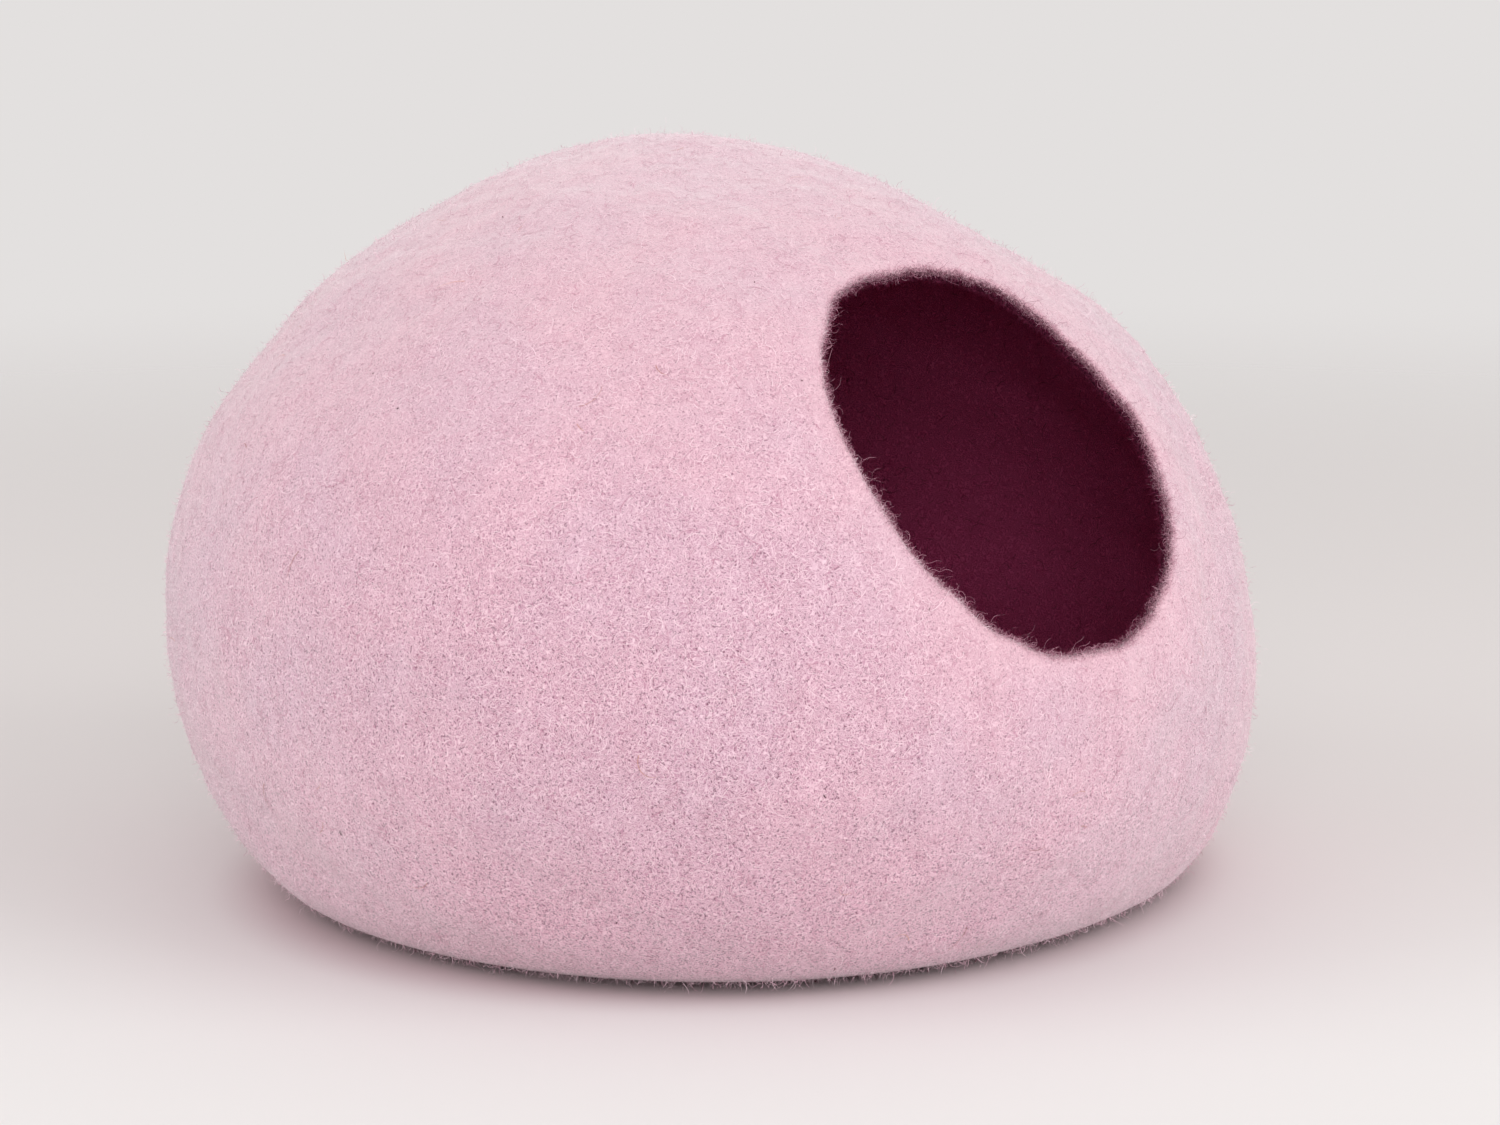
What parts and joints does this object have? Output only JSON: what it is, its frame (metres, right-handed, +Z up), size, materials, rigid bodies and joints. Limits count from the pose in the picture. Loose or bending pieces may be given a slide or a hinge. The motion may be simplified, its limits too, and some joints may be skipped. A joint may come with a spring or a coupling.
{
  "type": "felted wool pet bed",
  "caption": "Hollow egg-shaped cave bed of thick felted wool with an oval doorway high in the front and a flat underside.",
  "frame": {"origin": "middle of the bed's footprint box, on the floor", "axes": "-Y out of the side with the doorway, +Z up, +X to the right of someone looking in through the doorway"},
  "size_m": [0.5128, 0.5088, 0.3505],
  "materials": {
    "felt": "matte pale pink wool felt with fine loose fibres, dark plum wool on the inside"
  },
  "bodies": {
    "root": {"felt_shell": "felt"}
  },
  "joints": []
}
